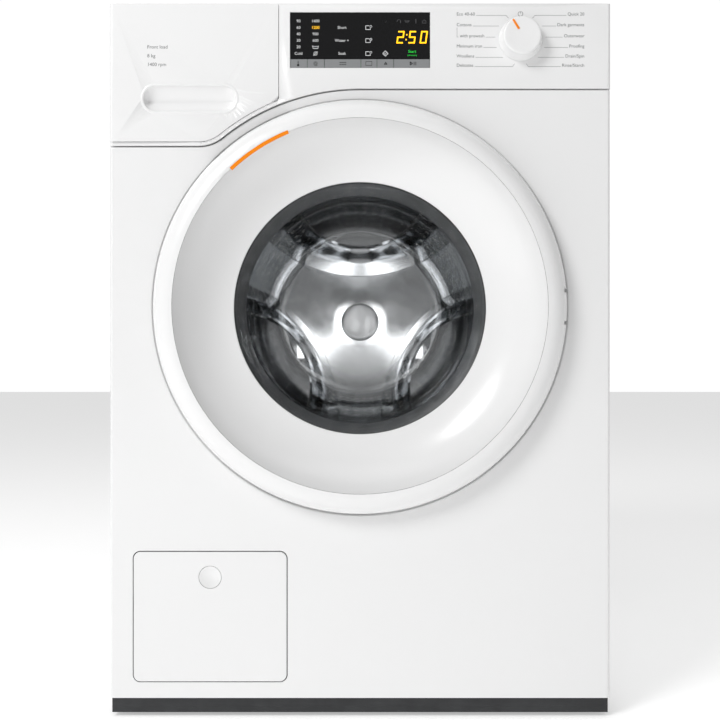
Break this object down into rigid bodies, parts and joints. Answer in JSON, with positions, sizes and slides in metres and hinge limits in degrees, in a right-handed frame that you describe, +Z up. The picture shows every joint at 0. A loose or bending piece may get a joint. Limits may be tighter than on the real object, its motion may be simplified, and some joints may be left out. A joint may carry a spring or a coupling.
{
  "type": "front load washing machine",
  "caption": "Free standing front load washer with a dished porthole door, drum on sprung tub, belt drive, detergent drawer, selector, service flap and levelling feet.",
  "frame": {"origin": "on the floor, under the middle of the whole machine", "axes": "+Z up, -Y towards the user in front of the door, +X to the user's right"},
  "size_m": [0.596, 0.636, 0.85],
  "materials": {
    "white_enamel": "gloss white enamelled steel sheet",
    "zinc_steel": "zinc coated steel sheet",
    "white_abs": "gloss white moulded ABS",
    "white_laminate": "white melamine faced board",
    "dark_pp": "dark grey moulded polypropylene",
    "display_black": "black gloss acrylic window",
    "key_grey": "satin grey key strip",
    "board_green": "green circuit board",
    "pale_pp": "pale grey moulded polypropylene",
    "valve_plastic": "white nylon with a threaded spigot",
    "hose_rubber": "black EPDM hose",
    "lock_black": "black nylon",
    "spring_steel": "bright zinc plated steel",
    "damper_grey": "grey moulded damper",
    "gasket_rubber": "grey EPDM door gasket",
    "concrete": "cast concrete",
    "motor_metal": "black painted motor casing",
    "belt_rubber": "ribbed black rubber belt",
    "drum_steel": "polished perforated stainless steel",
    "paddle_steel": "polished stainless steel",
    "cast_aluminium": "cast aluminium",
    "door_glass_clear": "clear moulded glass bowl",
    "orange_marker": "orange inlay",
    "foot_rubber": "black rubber pad on a threaded stem"
  },
  "bodies": {
    "cabinet": {"side_panel_left": "white_enamel", "side_panel_right": "white_enamel", "rear_panel": "zinc_steel", "rear_service_cover": "white_enamel", "base_tray": "dark_pp", "top_cover": "white_laminate", "front_panel": "white_enamel", "cross_braces": "zinc_steel", "control_fascia": "white_abs", "display_window": "display_black", "touch_keys": "key_grey", "control_board": "board_green", "dispenser_housing": "pale_pp", "inlet_valve": "valve_plastic", "inner_pipes": "hose_rubber", "rear_fittings": "pale_pp", "door_lock": "lock_black", "hinge_bracket": "zinc_steel", "drain_pump": "dark_pp", "filter_well": "dark_pp", "cabinet_screws": "spring_steel", "damper_cylinders": "damper_grey", "suspension_springs": "spring_steel", "door_gasket": "gasket_rubber", "gasket_front_clamp": "spring_steel", "sump_hose": "hose_rubber", "fill_hose": "hose_rubber"},
    "tub": {"tub_front": "pale_pp", "tub_rear": "pale_pp", "counterweights": "concrete", "drum_bearings": "spring_steel", "motor_housing": "motor_metal", "heater": "spring_steel", "drive_belt": "belt_rubber", "damper_rods": "spring_steel", "gasket_rear_clamp": "spring_steel"},
    "drum": {"drum_shell": "drum_steel", "drum_back": "drum_steel", "drum_paddles": "paddle_steel", "drum_spider": "cast_aluminium", "drum_hub_cap": "paddle_steel", "drum_pulley": "cast_aluminium"},
    "rotor": {"motor_rotor": "motor_metal"},
    "door": {"door_outer_ring": "white_abs", "door_dish_ring": "white_abs", "door_glass": "door_glass_clear", "door_inner_frame": "pale_pp", "door_marker": "orange_marker", "door_hook": "lock_black", "door_hinge_arm": "spring_steel"},
    "drawer": {"drawer_front": "white_abs", "drawer_tray": "pale_pp"},
    "selector": {"selector_knob": "white_abs"},
    "flap": {"service_flap": "white_abs"},
    "button": {"flap_button": "white_abs"},
    "filter_cap": {"pump_filter_cap": "dark_pp"},
    "foot_front_left_body": {"foot_front_left": "foot_rubber"},
    "foot_front_right_body": {"foot_front_right": "foot_rubber"},
    "foot_rear_left_body": {"foot_rear_left": "foot_rubber"},
    "foot_rear_right_body": {"foot_rear_right": "foot_rubber"}
  },
  "joints": [
    {"name": "door_swing", "type": "hinge", "parent": "cabinet", "child": "door", "pos_m": [0.228, -0.303, 0.489], "axis": [0, 0, 1], "range_deg": [0, 130]},
    {"name": "tub_bounce", "type": "slide", "parent": "cabinet", "child": "tub", "axis": [0, 0, 1], "range_m": [-0.01, 0.01], "stiffness_N_per_m": 12000, "springref_m": 0.02992, "deforming": ["suspension_springs", "door_gasket", "sump_hose", "fill_hose"]},
    {"name": "drum_spin", "type": "hinge", "parent": "tub", "child": "drum", "pos_m": [0, 0.013, 0.489], "axis": [0, 1, 0], "continuous": true},
    {"name": "motor_spin", "type": "hinge", "parent": "tub", "child": "rotor", "pos_m": [0, 0.213, 0.165], "axis": [0, 1, 0], "continuous": true},
    {"name": "drawer_slide", "type": "slide", "parent": "cabinet", "child": "drawer", "axis": [0, -1, 0], "range_m": [0, 0.22]},
    {"name": "selector_turn", "type": "hinge", "parent": "cabinet", "child": "selector", "pos_m": [0.1907, -0.297, 0.8076], "axis": [0, -1, 0], "continuous": true},
    {"name": "flap_swing", "type": "hinge", "parent": "cabinet", "child": "flap", "pos_m": [-0.1784, -0.2824, 0.0548], "axis": [1, 0, 0], "range_deg": [0, 90]},
    {"name": "flap_button_press", "type": "slide", "parent": "flap", "child": "button", "axis": [0, 1, 0], "range_m": [0, 0.0025], "stiffness_N_per_m": 400, "springref_m": -0.001},
    {"name": "filter_cap_turn", "type": "hinge", "parent": "cabinet", "child": "filter_cap", "pos_m": [-0.1784, -0.257, 0.108], "axis": [0, -1, 0], "range_deg": [0, 180]},
    {"name": "foot_front_left_adjust", "type": "slide", "parent": "cabinet", "child": "foot_front_left_body", "axis": [0, 0, -1], "range_m": [0, 0.015]},
    {"name": "foot_front_right_adjust", "type": "slide", "parent": "cabinet", "child": "foot_front_right_body", "axis": [0, 0, -1], "range_m": [0, 0.015]},
    {"name": "foot_rear_left_adjust", "type": "slide", "parent": "cabinet", "child": "foot_rear_left_body", "axis": [0, 0, -1], "range_m": [0, 0.015]},
    {"name": "foot_rear_right_adjust", "type": "slide", "parent": "cabinet", "child": "foot_rear_right_body", "axis": [0, 0, -1], "range_m": [0, 0.015]}
  ],
  "couplings": [
    {"joint": "motor_spin", "follows": "drum_spin", "ratio": 13.636}
  ]
}
